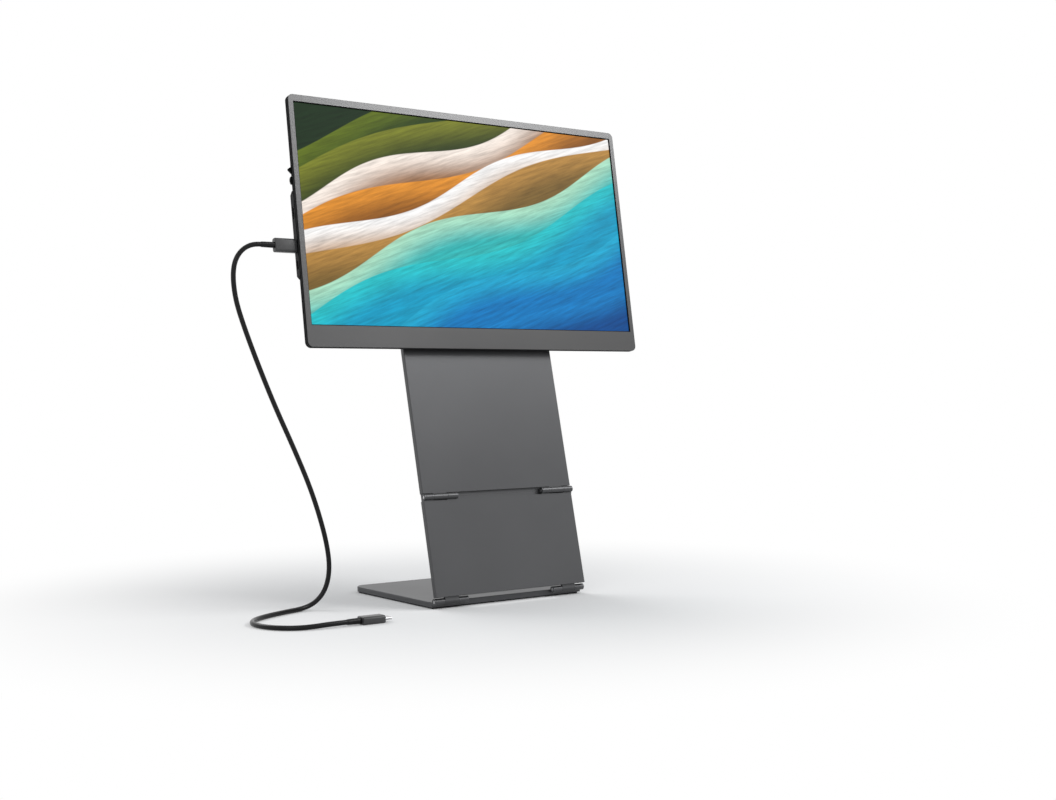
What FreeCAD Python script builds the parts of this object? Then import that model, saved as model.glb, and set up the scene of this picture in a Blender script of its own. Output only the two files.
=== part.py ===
"""A portable screen that stands on a folding three-hinge stand, with its cable.

Sizes are in millimetres. X runs to the right seen from the front, Y runs to the back
and Z runs up. The origin is the centre of the foot's underside, on the table.
"""
import FreeCAD, Part
import math
import os

V = FreeCAD.Vector
X_AXIS = V(1, 0, 0)
Y_AXIS = V(0, 1, 0)
Z_AXIS = V(0, 0, 1)

# The picture area and the front frame around it
active_width = 344.16
active_height = 193.59
side_bezel = 5.4
top_bezel = 6.8
chin_height = 19.5
frame_depth = 4.6
frame_corner_radius = 5.0
front_lip = 1.0
front_chamfer = 0.35
chin_rail = 6.0
black_border = 0.8

# The layers of the screen panel, from the front lip backwards
gasket_thickness = 0.3
gasket_width = 2.2
glass_thickness = 0.9
backlight_thickness = 1.8
tray_thickness = 0.4
glass_margin_sides = 1.8
glass_margin_top = 2.2
glass_margin_chin = 6.0
tray_lip = 0.6
fit_gap = 0.2
hole_slack = 0.02
board_hole_slack = 0.1

# The thin back cover
cover_depth = 7.0
cover_wall = 1.5
cover_edge_radius = 1.6
cover_screw_radius = 0.8
cover_screw_head_radius = 1.5
cover_screw_head_depth = 0.8
cover_screw_length = 3.6
cover_screw_inset = 3.2
top_screw_count = 3
chin_screw_count = 4

# The raised housing of the ports at the left edge
housing_depth = 10.5
housing_wall = 1.2
housing_width = 58.0
housing_bottom = 59.0
housing_bottom_margin = 12.6
housing_top_margin = 13.6
housing_slope = 3.2
housing_fit = 0.1
housing_screw_inset = 4.6

# The main board, its sockets and its chips
board_thickness = 0.97
board_margin = 6.0
board_left_gap = 1.6
board_width = 48.0
board_screw_radius = 0.9
board_screw_grip = 2.2
board_screw_head_height = 0.5
board_screw_inset = 3.4
board_post_gap = 0.6
board_post_radius = 2.2
socket_recess = 0.2
port_depth = 7.6
usb_socket_length = 7.35
usb_socket_height = 8.94
usb_socket_thickness = 3.26
usb_socket_wall = 0.3
usb_tongue_height = 6.6
usb_tongue_thickness = 0.7
usb_tongue_length = 4.6
usb_pitch = 16.4
video_pitch = 28.7
video_socket_width = 11.2
video_socket_thickness = 3.2
video_socket_length = 7.5
video_tongue_width = 8.0
port_clearance = 0.12
video_corner_cut = 1.2

# Each chip: its place across and up the board as fractions, then width, height and thickness
chip_table = [(0.458, 0.554, 12.0, 12.0, 1.1),
              (0.438, 0.231, 6.0, 6.0, 0.9),
              (0.750, 0.585, 8.0, 6.0, 0.8),
              (0.708, 0.277, 5.0, 5.0, 2.0),
              (0.708, 0.400, 5.0, 5.0, 2.0),
              (0.833, 0.800, 5.0, 16.0, 1.0)]

# The power button and the menu rocker in the left edge, with the pod behind them
pod_depth = 8.6
pod_gap = 0.8
pod_inset = 1.4
pod_width = 11.0
pod_wall = 1.2
pod_chamfer = 1.0
pod_end_margin = 2.2
power_length = 6.8
power_proud = 1.6
power_dome = 0.9
rocker_length = 5.9
rocker_proud = 2.7
rocker_tip_length = 1.6
rocker_tip_place = 0.28
rocker_tip_round = 0.2
key_spacing = 1.05
key_thickness = 1.8
key_clearance = 0.25
key_flange_length = 0.8
key_flange_thickness = 0.6
key_gap = 0.4
switch_depth = 0.9
switch_half = 1.0
plunger_radius = 0.6
button_board_thickness = 0.8

# The driver board along the chin and the flat cable to the main board
driver_end_inset = 24.0
driver_height = 5.0
driver_thickness = 0.8
flex_width = 10.0
flex_inset = 8.0
flex_thickness = 0.15
flex_overlap = 10.0

# The stand: two leaves, three hinges and a foot
tilt_angle = 9.0
leaf_lean = 13.5
stand_width = 160.0
leaf_thickness = 5.0
upper_leaf_length = 139.5
lower_leaf_length = 90.0
leaf_edge_radius = 0.8
hinge_offset = 0.3
knuckle_radius = 2.8
knuckle_gap = 0.5
knuckle_side_gap = 0.2
pin_radius = 1.5
pin_running = 0.04
pin_press = 0.01
pin_short = 0.3
outer_knuckle = 10.0
middle_knuckle = 14.0
inner_knuckle = 10.0
stop_lip_gap = 0.1
tilt_axis_depth = 13.3
tilt_axis_height = 8.0

# The tilt hinge brackets and their friction washers
bracket_thickness = 1.4
bracket_height = 24.0
bracket_bottom = 3.2
bracket_margin = 7.0
bracket_corner_radius = 2.5
bracket_screw_drop = 5.0
bracket_screw_radius = 1.2
bracket_screw_head_radius = 2.2
bracket_screw_head_height = 0.9
arm_drop = 1.0
washer_radius = 3.2
washer_rim_radius = 2.56
washer_thickness = 0.5
washer_count = 4
washer_gap = 0.05
nut_radius = 3.0
nut_length = 2.6
nut_tail = 0.6

# The foot and its rubber mat
foot_depth = 138.0
foot_thickness = 4.8
mat_thickness = 1.2
mat_inset = 2.0
foot_corner_radius = 10.0
foot_edge_radius = 0.8

# The rubber pads on the back that the folded leaf lies on
pad_radius = 4.0
pad_spacing_x = 124.0
pad_low = 48.0
pad_high = 126.0
pad_gap = 0.3
pad_chamfer = 0.5

# The cable and its two plugs
cable_diameter = 4.2
cable_straight_start = 4.2
cable_straight_end = 14.0
plug_length = 20.0
plug_width = 12.0
plug_thickness = 6.5
plug_corner_radius = 2.2
plug_seat_gap = 0.3
plug_end_chamfer = 0.6
plug_shell_width = 8.25
plug_shell_thickness = 2.4
plug_shell_length = 6.65
plug_shell_wall = 0.3
plug_shell_root = 2.0
relief_length = 12.0
relief_root_diameter = 5.2
relief_tip_diameter = 4.8
relief_edge_radius = 0.25
far_plug_tip = V(-141.35, -103.0, 3.25)

# The cable's points from the loop beside the screen, down and round on the table
cable_points = [(-220.2, -14.4, 308.6), (-226.2, -14.4, 305.0), (-231.0, -14.4, 299.3),
                (-234.1, -14.4, 291.3), (-234.9, -14.4, 279.3), (-232.5, -14.4, 262.0),
                (-225.5, -14.3, 241.0), (-213.5, -14.2, 210.5), (-198.0, -14.0, 174.5),
                (-181.0, -13.6, 139.5), (-164.5, -13.0, 103.0), (-152.5, -12.2, 67.5),
                (-147.0, -11.2, 42.0), (-147.6, -10.2, 25.5), (-152.0, -9.0, 13.5),
                (-160.5, -8.0, 5.5), (-172.0, -8.6, 2.15), (-188.0, -14.5, 2.15),
                (-210.0, -24.5, 2.15), (-229.5, -37.5, 2.15), (-240.0, -53.5, 2.15),
                (-240.5, -73.0, 2.15), (-232.0, -91.0, 2.15), (-216.5, -101.0, 2.15)]

# Sizes that follow from the ones above
screen_width = active_width + 2 * side_bezel
screen_height = chin_height + active_height + top_bezel
left_edge = -screen_width / 2
right_edge = screen_width / 2
active_top = chin_height + active_height
glass_front = front_lip + gasket_thickness
backlight_front = glass_front + glass_thickness
tray_front = backlight_front + backlight_thickness
tray_back = tray_front + tray_thickness
panel_half_width = active_width / 2 + glass_margin_sides
panel_low = chin_height - glass_margin_chin
panel_high = active_top + glass_margin_top
pocket_half_width = panel_half_width + tray_lip
socket_front = port_depth - usb_socket_thickness / 2
usb_lower_height = housing_bottom + housing_bottom_margin
usb_upper_height = usb_lower_height + usb_pitch
video_socket_height = usb_upper_height + video_pitch
housing_top = video_socket_height + video_socket_width / 2 + housing_top_margin
pod_bottom = housing_top + pod_gap
key_room = key_flange_length + key_clearance + pod_wall + 0.1
power_height = pod_bottom + pod_end_margin + key_room + power_length / 2
rocker_height = power_height + power_length / 2 + 2 * key_flange_length + key_spacing + rocker_length / 2
pod_top = rocker_height + rocker_length / 2 + key_room
driver_length = active_width - 2 * driver_end_inset
board_back = socket_front
board_front = board_back - board_thickness
board_left = left_edge + board_left_gap
board_low = housing_bottom + board_margin
board_high = housing_top - board_margin
key_depth = frame_depth + key_clearance + key_thickness / 2
hinge_reach = knuckle_radius + knuckle_gap
leaf_half = leaf_thickness / 2
foot_top = mat_thickness + foot_thickness
stand_half_width = stand_width / 2


def block(x0, x1, y0, y1, z0, z1):
    return Part.makeBox(x1 - x0, y1 - y0, z1 - z0, V(x0, y0, z0))


def rod(x0, x1, y, z, radius):
    return Part.makeCylinder(radius, x1 - x0, V(x0, y, z), X_AXIS)


def stud(x, z, y0, y1, radius):
    return Part.makeCylinder(radius, y1 - y0, V(x, y0, z), Y_AXIS)


def rounded_outline(x0, x1, z0, z1, radius, y):
    """A rectangle with round corners, as a wire across the Y axis."""
    k = radius * (1 - math.sqrt(0.5))
    p = [V(x0 + radius, y, z0), V(x1 - radius, y, z0), V(x1, y, z0 + radius), V(x1, y, z1 - radius),
         V(x1 - radius, y, z1), V(x0 + radius, y, z1), V(x0, y, z1 - radius), V(x0, y, z0 + radius)]
    m = [V(x1 - k, y, z0 + k), V(x1 - k, y, z1 - k), V(x0 + k, y, z1 - k), V(x0 + k, y, z0 + k)]
    edges = []
    for i in range(4):
        a, b, c = p[2 * i], p[2 * i + 1], p[(2 * i + 2) % 8]
        edges.append(Part.makeLine(a, b))
        edges.append(Part.Arc(b, m[i], c).toShape())
    return Part.Wire(edges)


def rounded_plate(x0, x1, z0, z1, radius, y0, y1):
    face = Part.Face(rounded_outline(x0, x1, z0, z1, radius, y0))
    return face.extrude(V(0, y1 - y0, 0))


def edges_on_face(shape, y):
    """The edges that lie wholly in the plane at this depth."""
    found = []
    for edge in shape.Edges:
        box = edge.BoundBox
        if abs(box.YMin - y) < 1e-4 and abs(box.YMax - y) < 1e-4:
            found.append(edge)
    return found


def joined(shapes):
    whole = shapes[0]
    if len(shapes) > 1:
        whole = whole.fuse(shapes[1:])
    return whole.removeSplitter()


def turned(shape, degrees, corner):
    """A copy turned back about X by this angle, then moved to this corner."""
    copy = shape.copy()
    copy.rotate(V(0, 0, 0), X_AXIS, -degrees)
    copy.translate(corner)
    return copy


# The places of the hinges, from the foot upwards
foot_axis = V(0, -foot_depth / 2 - hinge_reach, foot_top + hinge_offset)
leaf_up = V(0, math.sin(math.radians(leaf_lean)), math.cos(math.radians(leaf_lean)))
leaf_back = V(0, math.cos(math.radians(leaf_lean)), -math.sin(math.radians(leaf_lean)))
screen_up = V(0, math.sin(math.radians(tilt_angle)), math.cos(math.radians(tilt_angle)))
screen_back = V(0, math.cos(math.radians(tilt_angle)), -math.sin(math.radians(tilt_angle)))
leaves_length = upper_leaf_length + lower_leaf_length
axis_step = leaf_half + hinge_offset
tilt_axis = foot_axis + leaf_up * leaves_length - leaf_back * axis_step
screen_corner = tilt_axis - screen_up * tilt_axis_height - screen_back * tilt_axis_depth


def on_screen(shape):
    """Puts a shape drawn with the screen upright into its place on the stand."""
    return turned(shape, tilt_angle, screen_corner)


def on_leaf(shape):
    """Puts a shape drawn down from the tilt axis into its place on the leaning stand."""
    return turned(shape, leaf_lean, tilt_axis)


def front_frame():
    outer = rounded_plate(left_edge, right_edge, 0, screen_height, frame_corner_radius, 0, frame_depth)
    outer = outer.makeChamfer(front_chamfer, edges_on_face(outer, 0))
    border = black_border
    window = block(-active_width / 2 - border, active_width / 2 + border, -1, frame_depth + 1,
                   chin_height - border, active_top + border)
    pocket = block(-pocket_half_width, pocket_half_width, front_lip, frame_depth + 1,
                   panel_low - tray_lip, panel_high + tray_lip)
    board_room = block(-driver_length / 2 - fit_gap, driver_length / 2 + fit_gap, front_lip, frame_depth + 1,
                       chin_rail, panel_low)
    frame = outer.cut([window, pocket, board_room])
    holes = []
    for x, z in cover_screw_places():
        deep = cover_depth - cover_screw_length - fit_gap
        holes.append(stud(x, z, deep, frame_depth + 1, cover_screw_radius + hole_slack))
    return frame.cut(holes)


def cover_screw_places():
    """Across from left to right, above the picture and below it."""
    places = []
    span = screen_width - 8 * cover_screw_inset
    rows = ((top_screw_count, screen_height - cover_screw_inset), (chin_screw_count, cover_screw_inset))
    for count, z in rows:
        for i in range(count):
            places.append((-span / 2 + span * i / (count - 1), z))
    return places


def panel_gasket():
    border = gasket_width
    outer = block(-active_width / 2 - border, active_width / 2 + border, front_lip, glass_front,
                  chin_height - border, active_top + border)
    window = block(-active_width / 2, active_width / 2, 0, frame_depth, chin_height, active_top)
    return outer.cut(window)


def panel_layer(front, back, inset):
    return block(-panel_half_width + inset, panel_half_width - inset, front, back,
                 panel_low + inset, panel_high - inset)


def panel_tray():
    floor = panel_layer(tray_front, tray_back, -tray_lip / 2)
    rim = panel_layer(backlight_front, tray_back, -tray_lip / 2)
    rim = rim.cut(panel_layer(backlight_front - 1, tray_back + 1, 0))
    return joined([floor, rim])


def backlight():
    return panel_layer(backlight_front, tray_front, 0.05)


def driver_board():
    low = chin_rail + fit_gap
    front = front_lip + fit_gap
    return block(-driver_length / 2, driver_length / 2, front, front + driver_thickness,
                 low, low + driver_height)


def housing_profile(bottom, top, front, back, slope):
    """The side view of the raised housing, with its sloping ends."""
    points = [V(0, front, bottom), V(0, back, bottom + slope), V(0, back, top - slope), V(0, front, top)]
    return Part.Face(Part.makePolygon(points + [points[0]]))


def housing_wedge(front, back, bottom, top, left, right, slope):
    solid = housing_profile(bottom, top, front, back, slope).extrude(V(right - left, 0, 0))
    solid.translate(V(left, 0, 0))
    rise = back - front
    corner = [V(right, front, bottom - 1), V(right, back + 1, bottom - 1),
              V(right - slope * (rise + 1) / rise, back + 1, bottom - 1)]
    cutter = Part.Face(Part.makePolygon(corner + [corner[0]])).extrude(V(0, 0, top - bottom + 2))
    return solid.cut(cutter)


def port_openings():
    """The three openings through the left wall, each a round-ended slot along the edge."""
    slots = []
    for z in (usb_upper_height, usb_lower_height):
        slots.append(stadium(left_edge - 1, left_edge + housing_wall + 1, z,
                             usb_socket_height + 2 * port_clearance, usb_socket_thickness + 2 * port_clearance))
    width = video_socket_width + 2 * port_clearance
    thick = video_socket_thickness + 2 * port_clearance
    slots.append(block(left_edge - 1, left_edge + housing_wall + 1,
                       port_depth - thick / 2, port_depth + thick / 2,
                       video_socket_height - width / 2, video_socket_height + width / 2))
    return slots


def stadium(x0, x1, z, length, thickness):
    """A round-ended bar along X, long way up, centred on the ports' depth."""
    radius = thickness / 2
    half = length / 2 - radius
    bar = block(x0, x1, port_depth - radius, port_depth + radius, z - half, z + half)
    return joined([bar, rod(x0, x1, port_depth, z - half, radius), rod(x0, x1, port_depth, z + half, radius)])


def port_housing():
    right = left_edge + housing_width
    outer = housing_wedge(cover_depth, housing_depth, housing_bottom, housing_top,
                          left_edge, right, housing_slope)
    side = block(left_edge, left_edge + housing_wall, frame_depth, cover_depth,
                 board_low - board_margin / 2, board_high + board_margin / 2)
    inner = housing_wedge(cover_depth - 0.01, housing_depth - housing_wall, housing_bottom + housing_wall * 2,
                          housing_top - housing_wall * 2, left_edge + housing_wall, right - 2 * housing_wall,
                          housing_slope)
    shell = joined([outer, side]).cut([inner] + port_openings())
    posts = []
    holes = []
    for x, z in board_screw_places():
        posts.append(stud(x, z, board_back, housing_depth - housing_wall / 2, board_post_radius))
        holes.append(stud(x, z, board_back - 1, board_back + board_screw_grip + fit_gap, board_screw_radius))
    shell = joined([shell] + posts).cut(holes)
    return shell.cut([screw_room(x, z) for x, z in housing_screw_places()])


def board_screw_places():
    left = left_edge + socket_recess + video_socket_length + board_post_radius + board_post_gap
    right = board_left + board_width - board_screw_inset
    low = board_low + board_screw_inset
    high = board_high - board_screw_inset
    return [(left, low), (right, low), (left, high), (right, high)]


def housing_screw_places():
    right = left_edge + housing_width - housing_slope - housing_wall
    return [(left_edge + housing_screw_inset, housing_bottom + housing_slope + 0.6),
            (left_edge + housing_screw_inset, housing_top - housing_slope - 0.6),
            (right - 0.6, housing_bottom + housing_slope + 0.6),
            (right - 0.6, housing_top - housing_slope - 0.6)]


def screw_room(x, z):
    """The shank's hole and the head's countersink in the housing's face."""
    shank = stud(x, z, frame_depth, housing_depth + 1, cover_screw_radius + hole_slack)
    head = Part.makeCone(cover_screw_radius, cover_screw_head_radius, cover_screw_head_depth,
                         V(x, housing_depth - cover_screw_head_depth, z), Y_AXIS)
    return shank.fuse(head)


def flat_screw(x, z, face, length):
    """A screw with a flat countersunk head, level with the face that it holds down."""
    head = Part.makeCone(cover_screw_radius, cover_screw_head_radius - hole_slack,
                         cover_screw_head_depth - hole_slack, V(x, face - cover_screw_head_depth, z), Y_AXIS)
    shank = stud(x, z, face - length, face - cover_screw_head_depth, cover_screw_radius)
    return joined([head, shank])


def rear_cover():
    outer = rounded_plate(left_edge, right_edge, 0, screen_height, frame_corner_radius,
                          frame_depth, cover_depth)
    outer = outer.makeFillet(cover_edge_radius, edges_on_face(outer, cover_depth))
    pod = rounded_plate(left_edge + pod_inset, left_edge + pod_width, pod_bottom, pod_top, pod_wall,
                        frame_depth + 1, pod_depth)
    pod = pod.makeChamfer(pod_chamfer, edges_on_face(pod, pod_depth))
    outer = joined([outer, pod])
    inner_floor = cover_depth - cover_wall
    inner = block(left_edge + cover_wall * 2, right_edge - cover_wall * 2, frame_depth - 1, inner_floor,
                  2 * cover_screw_inset, screen_height - 2 * cover_screw_inset)
    side_room = block(left_edge - 1, left_edge + cover_wall * 2 + 1, frame_depth - 1, cover_depth + 1,
                      board_low - board_margin / 2 - housing_fit, board_high + board_margin / 2 + housing_fit)
    board_window = block(left_edge + 1, left_edge + housing_width - 3 * housing_wall,
                         inner_floor - 1, cover_depth + 1, board_low - housing_fit, board_high + housing_fit)
    pod_inner = block(left_edge + pod_wall, left_edge + pod_width - pod_wall, frame_depth - 1, cover_depth,
                      pod_bottom + pod_wall, pod_top - pod_wall)
    cutters = [inner, side_room, board_window, pod_inner, key_slot(power_height, power_length),
               key_slot(rocker_height, rocker_length)]
    cover = outer.cut(cutters)
    for x, z in cover_screw_places():
        cover = cover.cut(cover_screw_room(x, z))
    holes = []
    for x, z in housing_screw_places():
        holes.append(stud(x, z, frame_depth - 1, cover_depth + 1, cover_screw_radius + hole_slack))
    for x, z in bracket_screw_places():
        holes.append(stud(x, z, frame_depth - 1, cover_depth + 1, bracket_screw_radius + hole_slack))
    return cover.cut(holes)


def cover_screw_room(x, z):
    shank = stud(x, z, frame_depth - 1, cover_depth + 1, cover_screw_radius + hole_slack)
    head = Part.makeCone(cover_screw_radius, cover_screw_head_radius, cover_screw_head_depth,
                         V(x, cover_depth - cover_screw_head_depth, z), Y_AXIS)
    return shank.fuse(head)


def key_slot(z, length):
    """The notch in the cover's left wall that a key stands in, open towards the frame."""
    half = length / 2 + key_clearance
    back = key_depth + key_thickness / 2 + key_clearance
    return block(left_edge - 1, left_edge + pod_wall + 1, frame_depth - 1, back, z - half, z + half)


def main_board():
    board = block(board_left, board_left + board_width, board_front, board_back, board_low, board_high)
    holes = []
    for x, z in board_screw_places():
        holes.append(stud(x, z, board_front - 1, board_back + 1, board_screw_radius + board_hole_slack))
    return board.cut(holes)


def board_chips():
    """The scaler, the power chip, the memory, two coils and the buttons' connector."""
    chips = []
    board_height = board_high - board_low
    for across, up, width, height, thick in chip_table:
        x = board_left + across * board_width
        z = board_low + up * board_height
        chips.append(block(x - width / 2, x + width / 2, board_back, board_back + thick,
                           z - height / 2, z + height / 2))
    return Part.makeCompound(chips)


def board_screws():
    screws = []
    for x, z in board_screw_places():
        head = stud(x, z, board_front - board_screw_head_height, board_front, board_screw_radius * 2)
        shank = stud(x, z, board_front, board_back + board_screw_grip, board_screw_radius - hole_slack)
        screws.append(joined([head, shank]))
    return Part.makeCompound(screws)


def usb_socket(z):
    left = left_edge + socket_recess
    right = left + usb_socket_length
    wall = usb_socket_wall
    shell = stadium(left, right, z, usb_socket_height, usb_socket_thickness)
    room = stadium(left - 1, right - wall, z, usb_socket_height - 2 * wall, usb_socket_thickness - 2 * wall)
    tongue = block(right - wall - usb_tongue_length, right - wall, port_depth - usb_tongue_thickness / 2,
                   port_depth + usb_tongue_thickness / 2, z - usb_tongue_height / 2, z + usb_tongue_height / 2)
    return joined([shell.cut(room), tongue])


def video_socket():
    """A small video socket, wide side along the edge, with its two lower corners cut off."""
    left = left_edge + socket_recess
    right = left + video_socket_length
    half = video_socket_width / 2
    thick = video_socket_thickness / 2
    cut = video_corner_cut
    wall = usb_socket_wall

    def outline(x, inset):
        low = video_socket_height - half + inset
        high = video_socket_height + half - inset
        front = port_depth - thick + inset
        back = port_depth + thick - inset
        points = [V(x, front, low + cut), V(x, port_depth, low), V(x, back, low),
                  V(x, back, high), V(x, port_depth, high), V(x, front, high - cut)]
        return Part.Face(Part.makePolygon(points + [points[0]]))

    shell = outline(left, 0).extrude(V(video_socket_length, 0, 0))
    room = outline(left - 1, wall).extrude(V(video_socket_length + 1 - wall, 0, 0))
    tongue = block(right - wall - usb_tongue_length, right - wall, port_depth - usb_tongue_thickness / 2,
                   port_depth + usb_tongue_thickness / 2, video_socket_height - video_tongue_width / 2,
                   video_socket_height + video_tongue_width / 2)
    return joined([shell.cut(room), tongue])


def panel_flex():
    """The flat cable from the driver board in the chin up behind the tray to the main board."""
    right = board_left + board_width - flex_inset
    left = right - flex_width
    low = chin_rail + fit_gap + driver_height / 2
    front = tray_back + 0.05
    run = block(left, right, front, front + flex_thickness, low, board_low + flex_overlap)
    link = block(left, right, front_lip + fit_gap + driver_thickness, front, low, low + flex_thickness)
    return joined([run, link])


def button_board():
    x0 = left_edge + pod_wall + key_gap + key_flange_thickness + key_gap + switch_depth
    return block(x0, x0 + button_board_thickness, frame_depth + 0.1, cover_depth - 0.1,
                 pod_bottom + pod_wall + 0.1, pod_top - pod_wall - 0.1)


def button_switches():
    """One push switch behind the power button and two behind the rocker."""
    right = left_edge + pod_wall + key_gap + key_flange_thickness + key_gap + switch_depth
    switches = []
    for z in (power_height, rocker_height - rocker_length * 0.3, rocker_height + rocker_length * 0.3):
        body = block(right - switch_depth * 0.7, right, key_depth - switch_half, key_depth + switch_half,
                     z - switch_half, z + switch_half)
        plunger = rod(right - switch_depth + 0.05, right - switch_depth * 0.7, key_depth, z, plunger_radius)
        switches.append(joined([body, plunger]))
    return Part.makeCompound(switches)


def key_body(outline, flange_start, z, length):
    """A key drawn as its side view in X and Z, given its thickness, with a longer flange inside."""
    cap = Part.Face(outline).extrude(V(0, key_thickness, 0))
    cap.translate(V(left_edge, key_depth - key_thickness / 2, z))
    half = length / 2 + key_flange_length
    flange = block(left_edge + flange_start, left_edge + flange_start + key_flange_thickness,
                   key_depth - key_thickness / 2, key_depth + key_thickness / 2, z - half, z + half)
    return joined([cap, flange])


def power_button():
    """A low key with a domed face."""
    half = power_length / 2
    inside = pod_wall + 0.2
    low = V(power_dome - power_proud, 0, -half)
    high = V(power_dome - power_proud, 0, half)
    dome = Part.Arc(low, V(-power_proud, 0, 0), high).toShape()
    sides = [Part.makeLine(high, V(inside, 0, half)), Part.makeLine(V(inside, 0, half), V(inside, 0, -half)),
             Part.makeLine(V(inside, 0, -half), low)]
    return key_body(Part.Wire([dome] + sides), pod_wall + 0.1, power_height, power_length)


def menu_rocker():
    """A key with a raised nib near its upper end, which a finger rocks up or down."""
    half = rocker_length / 2
    inside = pod_wall + key_gap + 0.1
    tip_high = half - rocker_length * rocker_tip_place
    tip_low = tip_high - rocker_tip_length
    tip_side = rocker_tip_round - rocker_proud
    tip_middle = V(-rocker_proud, 0, (tip_high + tip_low) / 2)
    nib = Part.Arc(V(tip_side, 0, tip_low), tip_middle, V(tip_side, 0, tip_high)).toShape()
    points = [V(tip_side, 0, tip_high), V(0, 0, half), V(inside, 0, half),
              V(inside, 0, -half), V(0, 0, -half), V(tip_side, 0, tip_low)]
    edges = [Part.makeLine(p, q) for p, q in zip(points, points[1:])]
    return key_body(Part.Wire([nib] + edges), pod_wall + key_gap, rocker_height, rocker_length)


def hinge_span():
    """Start and end of each knuckle from the outer side of the stand inwards."""
    outer_end = stand_half_width
    outer_start = outer_end - outer_knuckle
    middle_end = outer_start - knuckle_side_gap
    middle_start = middle_end - middle_knuckle
    inner_end = middle_start - knuckle_side_gap
    inner_start = inner_end - inner_knuckle
    return (outer_start, outer_end), (middle_start, middle_end), (inner_start, inner_end)


def both_sides(spans):
    """The spans on the right of the middle and their mirror images on the left."""
    return [(a, b) for a, b in spans] + [(-b, -a) for a, b in spans]


def knuckle(span, axis_y, axis_z, y0, y1, z0, z1, bore):
    """A barrel round the hinge axis with the web that carries it to its plate."""
    x0, x1 = span
    barrel = rod(x0, x1, axis_y, axis_z, knuckle_radius)
    web = block(x0, x1, y0, y1, z0, z1)
    return joined([barrel, web]).cut(rod(x0 - 1, x1 + 1, axis_y, axis_z, bore))


def leaf_plate(z0, z1):
    """A leaf without its knuckles: a plate with softened long edges."""
    plate = block(-stand_half_width, stand_half_width, -leaf_half, leaf_half, z0, z1)
    long_edges = [e for e in plate.Edges if e.BoundBox.ZLength > abs(z1 - z0) - 1e-3]
    return plate.makeFillet(leaf_edge_radius, long_edges)


def upper_leaf():
    outer, middle, inner = hinge_span()
    lowest = -upper_leaf_length
    plate = leaf_plate(lowest + hinge_reach, -hinge_reach)
    lip = stop_lip(lowest + stop_lip_gap / 2, lowest + hinge_reach)
    parts = [plate, lip]
    for span in both_sides([outer, inner]):
        parts.append(knuckle(span, 0, 0, -leaf_half, leaf_half, -hinge_reach - 1, 0, pin_radius + pin_press))
    for span in both_sides([middle]):
        parts.append(knuckle(span, -axis_step, lowest, -leaf_half, 0, lowest, lowest + hinge_reach + 1,
                             pin_radius + pin_running))
    leaf = joined(parts)
    bores = [rod(a - 1, b + 1, -axis_step, lowest, pin_radius + pin_running) for a, b in both_sides([middle])]
    bores += [rod(a - 1, b + 1, 0, 0, pin_radius + pin_press) for a, b in both_sides([outer, inner])]
    return leaf.cut(bores)


def stop_lip(z0, z1):
    """The rear part of a leaf's end, which meets the other leaf when the stand is straight."""
    return block(-stand_half_width + 1, stand_half_width - 1, -axis_step + hinge_reach, leaf_half, z0, z1 + 1)


def lower_leaf():
    outer, middle, inner = hinge_span()
    top = -upper_leaf_length
    bottom = -leaves_length
    plate = leaf_plate(bottom + hinge_reach, top - hinge_reach)
    lip = block(-stand_half_width + 1, stand_half_width - 1, -axis_step + hinge_reach, leaf_half,
                top - hinge_reach - 1, top - stop_lip_gap / 2)
    parts = [plate, lip]
    bores = []
    for span in both_sides([outer, inner]):
        parts.append(knuckle(span, -axis_step, top, -leaf_half, 0, top - hinge_reach - 1, top,
                             pin_radius + pin_press))
        bores.append(rod(span[0] - 1, span[1] + 1, -axis_step, top, pin_radius + pin_press))
    for span in both_sides([middle]):
        parts.append(knuckle(span, axis_step, bottom, 0, leaf_half, bottom, bottom + hinge_reach + 1,
                             pin_radius + pin_running))
        bores.append(rod(span[0] - 1, span[1] + 1, axis_step, bottom, pin_radius + pin_running))
    return joined(parts).cut(bores)


def hinge_pins(axis_y, axis_z):
    """One pin on each side through all its knuckles."""
    outer, middle, inner = hinge_span()
    spans = both_sides([(inner[0] + pin_short, outer[1] - pin_short)])
    return Part.makeCompound([rod(a, b, axis_y, axis_z, pin_radius) for a, b in spans])


def tilt_shafts():
    """The tilt hinge's pins run on past the inner knuckles to carry the washers and nuts."""
    outer, middle, inner = hinge_span()
    tail = washer_count * washer_thickness + nut_length + nut_tail
    pins = [rod(a, b, 0, 0, pin_radius) for a, b in both_sides([(inner[0] - tail, outer[1] - pin_short)])]
    return Part.makeCompound(pins)


def tilt_washers():
    """The dished spring washers that press the tilt hinge together."""
    inner = hinge_span()[2]
    stacks = []
    for side in (1, -1):
        for i in range(washer_count):
            end = inner[0] - i * washer_thickness
            start = end - washer_thickness + washer_gap
            cone = Part.makeCone(washer_radius, washer_rim_radius, end - start,
                                 V(side * start, 0, 0), X_AXIS * side)
            stacks.append(cone.cut(rod(-stand_half_width, stand_half_width, 0, 0, pin_radius + hole_slack)))
    return Part.makeCompound(stacks)


def tilt_nuts():
    inner = hinge_span()[2]
    nuts = []
    for side in (1, -1):
        end = inner[0] - washer_count * washer_thickness
        start = end - nut_length
        points = []
        for i in range(6):
            angle = math.radians(60 * i)
            points.append(V(side * start, nut_radius * math.cos(angle), nut_radius * math.sin(angle)))
        body = Part.Face(Part.makePolygon(points + [points[0]])).extrude(V(side * (end - start), 0, 0))
        nuts.append(body.cut(rod(-stand_half_width, stand_half_width, 0, 0, pin_radius + hole_slack)))
    return Part.makeCompound(nuts)


def bracket_screw_places():
    middle = hinge_span()[1]
    places = []
    for a, b in both_sides([middle]):
        for x in (a - bracket_margin / 2, b + bracket_margin / 2):
            places.append((x, bracket_bottom + bracket_height - bracket_screw_drop))
    return places


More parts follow.
